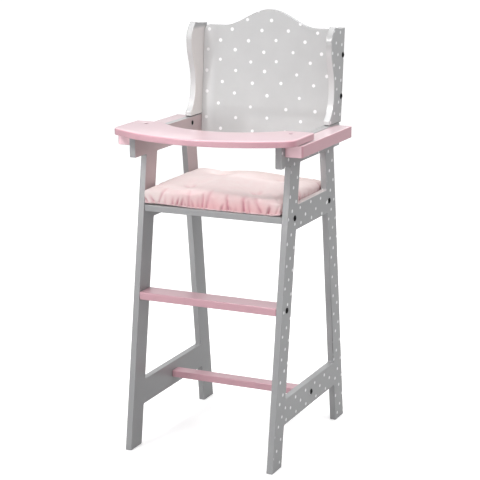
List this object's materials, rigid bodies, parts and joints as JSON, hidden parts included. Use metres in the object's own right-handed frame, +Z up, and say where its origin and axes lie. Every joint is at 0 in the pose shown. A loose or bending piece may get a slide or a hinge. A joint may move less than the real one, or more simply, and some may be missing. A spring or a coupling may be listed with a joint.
{
  "type": "doll high chair",
  "caption": "Doll high chair of painted boards with a winged, crested back, bowed tray, armrests, footrest and a loose tufted cushion.",
  "frame": {"origin": "on the floor, under the middle of the whole chair's bounding box", "axes": "+Z up; the chair's front, with the tray, faces -Y; +X is to the right of someone who looks at its front"},
  "size_m": [0.3, 0.3116, 0.6542],
  "materials": {
    "grey_paint": "satin grey paint on fibreboard, white dots on the outer faces",
    "pale_grey_paint": "satin pale grey paint on fibreboard, white dots on the front",
    "pink_paint": "satin pink paint on wood",
    "cushion_fabric": "short-pile pink plush",
    "black_metal": "black oxide",
    "zinc_metal": "zinc plated",
    "dowel_wood": "bare beech"
  },
  "bodies": {
    "chair": {"side_frame_left": "grey_paint", "wing_left": "grey_paint", "armrest_left": "pink_paint", "seat_front_bolt_left": "black_metal", "seat_front_barrel_nut_left": "zinc_metal", "seat_rear_bolt_left": "black_metal", "seat_rear_barrel_nut_left": "zinc_metal", "footrest_bolt_left": "black_metal", "footrest_barrel_nut_left": "zinc_metal", "rung_bolt_left": "black_metal", "rung_barrel_nut_left": "zinc_metal", "wing_lower_bolt_left": "black_metal", "wing_lower_barrel_nut_left": "zinc_metal", "wing_upper_bolt_left": "black_metal", "wing_upper_barrel_nut_left": "zinc_metal", "armrest_front_screw_left": "black_metal", "wing_front_dowel_left": "dowel_wood", "armrest_rear_screw_left": "black_metal", "wing_rear_dowel_left": "dowel_wood", "tray_screw_left": "black_metal", "side_frame_right": "grey_paint", "wing_right": "grey_paint", "armrest_right": "pink_paint", "seat_front_bolt_right": "black_metal", "seat_front_barrel_nut_right": "zinc_metal", "seat_rear_bolt_right": "black_metal", "seat_rear_barrel_nut_right": "zinc_metal", "footrest_bolt_right": "black_metal", "footrest_barrel_nut_right": "zinc_metal", "rung_bolt_right": "black_metal", "rung_barrel_nut_right": "zinc_metal", "wing_lower_bolt_right": "black_metal", "wing_lower_barrel_nut_right": "zinc_metal", "wing_upper_bolt_right": "black_metal", "wing_upper_barrel_nut_right": "zinc_metal", "armrest_front_screw_right": "black_metal", "wing_front_dowel_right": "dowel_wood", "armrest_rear_screw_right": "black_metal", "wing_rear_dowel_right": "dowel_wood", "tray_screw_right": "black_metal", "backrest": "pale_grey_paint", "seat_board": "grey_paint", "footrest": "pink_paint", "lower_rung": "pink_paint", "tray": "pink_paint"},
    "cushion": {"seat_cushion": "cushion_fabric"}
  },
  "joints": [
    {"name": "cushion_slide", "type": "slide", "parent": "chair", "child": "cushion", "axis": [0, -1, 0], "range_m": [0, 0.28]}
  ]
}
